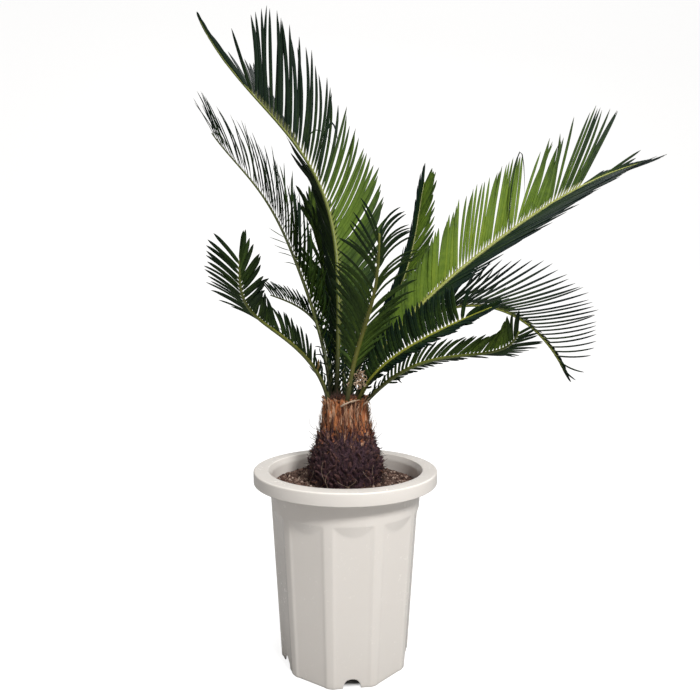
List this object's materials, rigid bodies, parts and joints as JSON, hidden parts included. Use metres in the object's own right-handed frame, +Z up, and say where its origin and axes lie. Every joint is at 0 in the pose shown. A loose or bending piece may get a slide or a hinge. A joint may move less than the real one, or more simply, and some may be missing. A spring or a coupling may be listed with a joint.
{
  "type": "potted cycad plant",
  "caption": "Young sago palm with a swollen scaly trunk and a crown of arching feather fronds, growing in soil in a tall ribbed plastic pot.",
  "frame": {"origin": "centre of the flat pad under the pot's floor, on the pot's axis and on the surface that it stands on", "axes": "+Z up along the pot's axis, -Y towards the front of the plant"},
  "size_m": [0.7687, 0.4902, 0.9705],
  "materials": {
    "white_plastic": "satin gloss moulded plastic",
    "potting_soil": "loose granular soil",
    "caudex_bark": "rough fibrous scales",
    "frond_green": "waxy leaf"
  },
  "bodies": {
    "root": {"pot": "white_plastic", "soil": "potting_soil", "caudex": "caudex_bark", "frond_01": "frond_green", "frond_02": "frond_green", "frond_03": "frond_green", "frond_04": "frond_green", "frond_05": "frond_green", "frond_06": "frond_green", "frond_07": "frond_green", "frond_08": "frond_green", "frond_09": "frond_green", "frond_10": "frond_green", "frond_11": "frond_green", "frond_12": "frond_green"}
  },
  "joints": []
}
